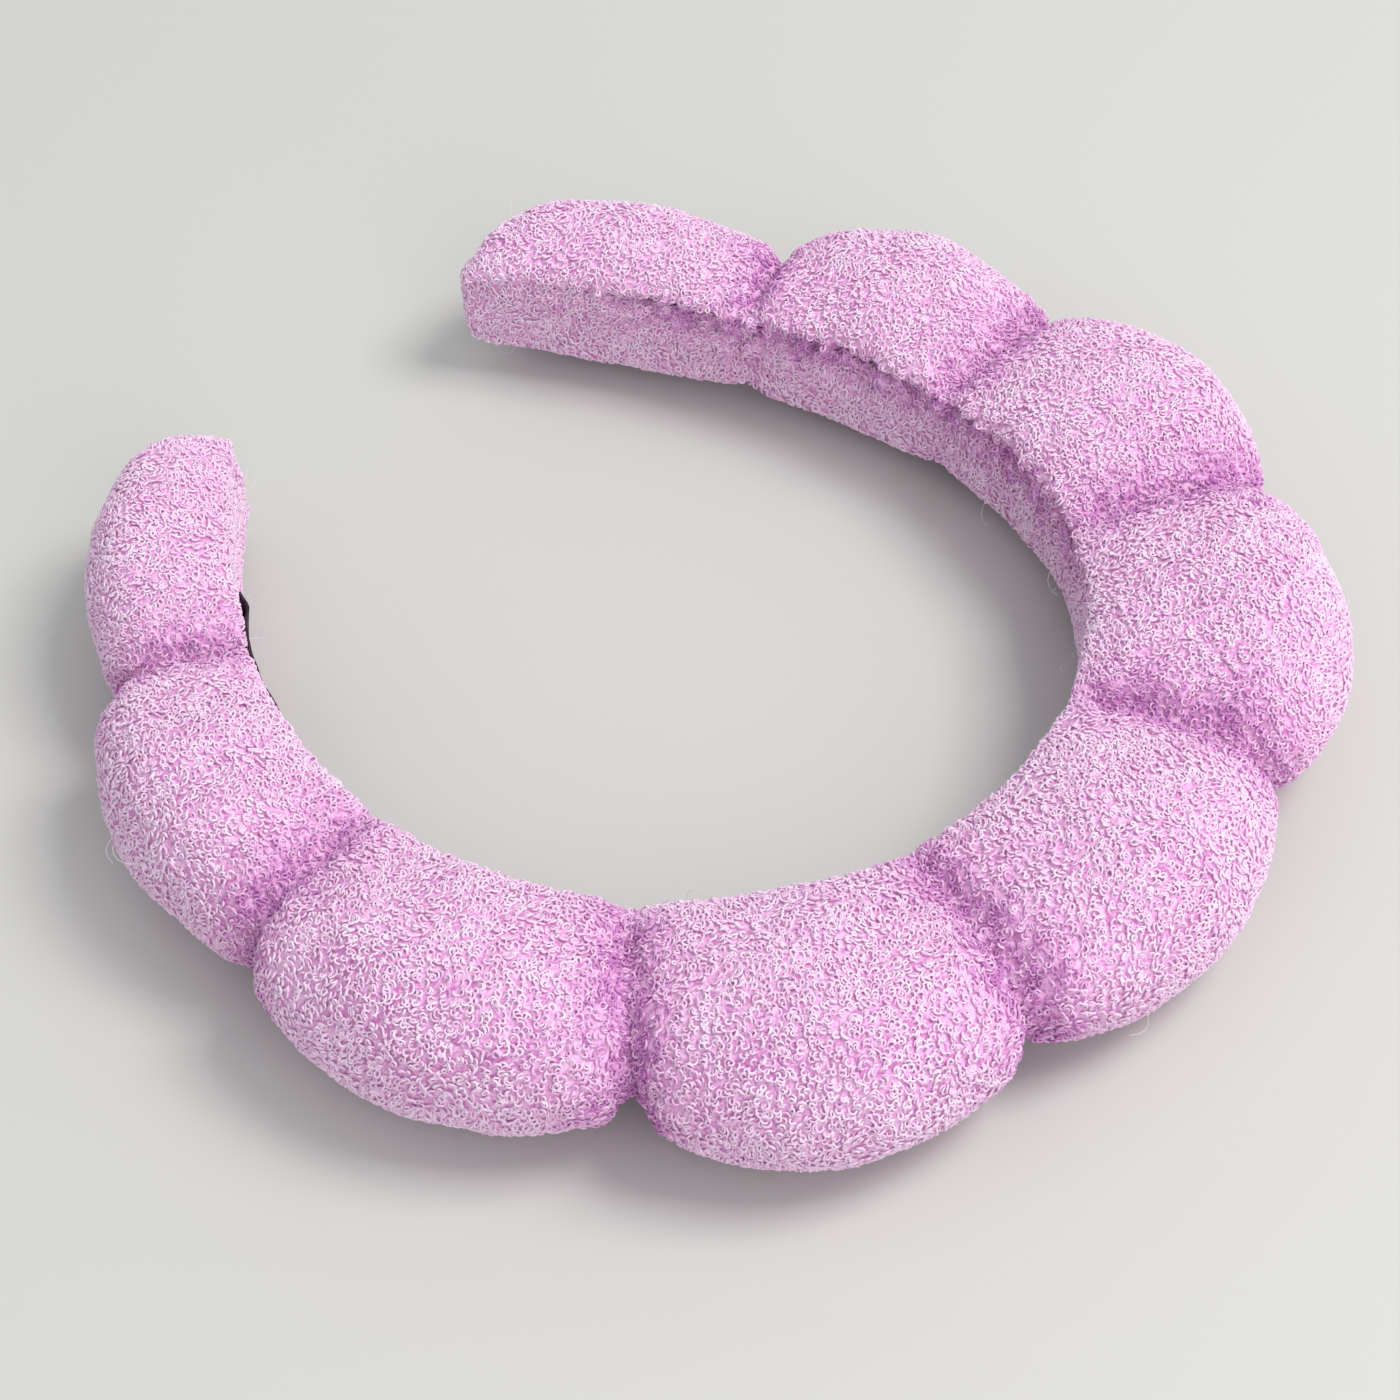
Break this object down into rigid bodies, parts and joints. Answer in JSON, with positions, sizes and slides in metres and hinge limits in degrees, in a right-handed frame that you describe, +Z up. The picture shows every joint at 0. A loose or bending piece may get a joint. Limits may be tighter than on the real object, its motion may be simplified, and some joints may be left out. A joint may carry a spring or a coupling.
{
  "type": "spa headband",
  "caption": "Puffy terry headband with a springy C shape that holds hair back from the face; its two arms flex apart to go over the head.",
  "frame": {"origin": "middle of the footprint on the surface that the band lies on", "axes": "+Z up through the band's height as it lies flat on its side; -Y from the open end to the crown, which sits on top of the head; +X to the right arm"},
  "size_m": [0.1916, 0.1911, 0.0295],
  "materials": {
    "terry_cover": "matte",
    "terry_lining": "matte",
    "sponge": "matte",
    "hoop_plastic": "matte",
    "thread": "matte",
    "label_cloth": "matte"
  },
  "bodies": {
    "crown": {"cover_crown": "terry_cover", "foam_crown": "sponge", "lining_crown": "terry_lining", "hoop_crown": "hoop_plastic", "seam_threads_crown": "thread", "tie_4": "thread", "tie_5": "thread"},
    "left_4": {"cover_left_4": "terry_cover", "foam_left_4": "sponge", "lining_left_4": "terry_lining", "hoop_left_4": "hoop_plastic", "seam_threads_left_4": "thread"},
    "left_3": {"cover_left_3": "terry_cover", "foam_left_3": "sponge", "lining_left_3": "terry_lining", "hoop_left_3": "hoop_plastic", "seam_threads_left_3": "thread", "tie_1": "thread", "label": "label_cloth"},
    "left_2": {"cover_left_2": "terry_cover", "foam_left_2": "sponge", "lining_left_2": "terry_lining", "hoop_left_2": "hoop_plastic", "seam_threads_left_2": "thread", "tie_2": "thread"},
    "left_1": {"cover_left_1": "terry_cover", "foam_left_1": "sponge", "lining_left_1": "terry_lining", "hoop_left_1": "hoop_plastic", "seam_threads_left_1": "thread", "tie_3": "thread"},
    "right_1": {"cover_right_1": "terry_cover", "foam_right_1": "sponge", "lining_right_1": "terry_lining", "hoop_right_1": "hoop_plastic", "seam_threads_right_1": "thread", "tie_6": "thread"},
    "right_2": {"cover_right_2": "terry_cover", "foam_right_2": "sponge", "lining_right_2": "terry_lining", "hoop_right_2": "hoop_plastic", "seam_threads_right_2": "thread", "tie_7": "thread"},
    "right_3": {"cover_right_3": "terry_cover", "foam_right_3": "sponge", "lining_right_3": "terry_lining", "hoop_right_3": "hoop_plastic", "seam_threads_right_3": "thread", "tie_8": "thread"},
    "right_4": {"cover_right_4": "terry_cover", "foam_right_4": "sponge", "lining_right_4": "terry_lining", "hoop_right_4": "hoop_plastic", "seam_threads_right_4": "thread"}
  },
  "joints": [
    {"name": "left_flex", "type": "hinge", "parent": "crown", "child": "left_1", "pos_m": [-0.02222, -0.05696, 0.0145], "axis": [0, 0, 1], "range_deg": [-3, 6], "stiffness_Nm_per_rad": 2},
    {"name": "left_flex_2", "type": "hinge", "parent": "left_1", "child": "left_2", "pos_m": [-0.05486, -0.03099, 0.0145], "axis": [0, 0, 1], "range_deg": [-2.5, 5], "stiffness_Nm_per_rad": 0.2},
    {"name": "left_flex_3", "type": "hinge", "parent": "left_2", "child": "left_3", "pos_m": [-0.06548, 0.00932, 0.0145], "axis": [0, 0, 1], "range_deg": [-1.75, 3.5], "stiffness_Nm_per_rad": 0.2},
    {"name": "left_flex_4", "type": "hinge", "parent": "left_3", "child": "left_4", "pos_m": [-0.05223, 0.05133, 0.0145], "axis": [0, 0, 1], "range_deg": [-1, 2], "stiffness_Nm_per_rad": 0.2},
    {"name": "right_flex", "type": "hinge", "parent": "crown", "child": "right_1", "pos_m": [0.01902, -0.05696, 0.0145], "axis": [0, 0, -1], "range_deg": [-3, 6], "stiffness_Nm_per_rad": 2},
    {"name": "right_flex_2", "type": "hinge", "parent": "right_1", "child": "right_2", "pos_m": [0.04846, -0.03497, 0.0145], "axis": [0, 0, -1], "range_deg": [-2.5, 5], "stiffness_Nm_per_rad": 0.2},
    {"name": "right_flex_3", "type": "hinge", "parent": "right_2", "child": "right_3", "pos_m": [0.06184, 0.0013, 0.0145], "axis": [0, 0, -1], "range_deg": [-1.75, 3.5], "stiffness_Nm_per_rad": 0.2},
    {"name": "right_flex_4", "type": "hinge", "parent": "right_3", "child": "right_4", "pos_m": [0.05778, 0.03997, 0.0145], "axis": [0, 0, -1], "range_deg": [-1, 2], "stiffness_Nm_per_rad": 0.2}
  ],
  "couplings": [
    {"joint": "left_flex_2", "follows": "left_flex", "ratio": 0.8333},
    {"joint": "left_flex_3", "follows": "left_flex", "ratio": 0.5833},
    {"joint": "left_flex_4", "follows": "left_flex", "ratio": 0.3333},
    {"joint": "right_flex_2", "follows": "right_flex", "ratio": 0.8333},
    {"joint": "right_flex_3", "follows": "right_flex", "ratio": 0.5833},
    {"joint": "right_flex_4", "follows": "right_flex", "ratio": 0.3333}
  ]
}
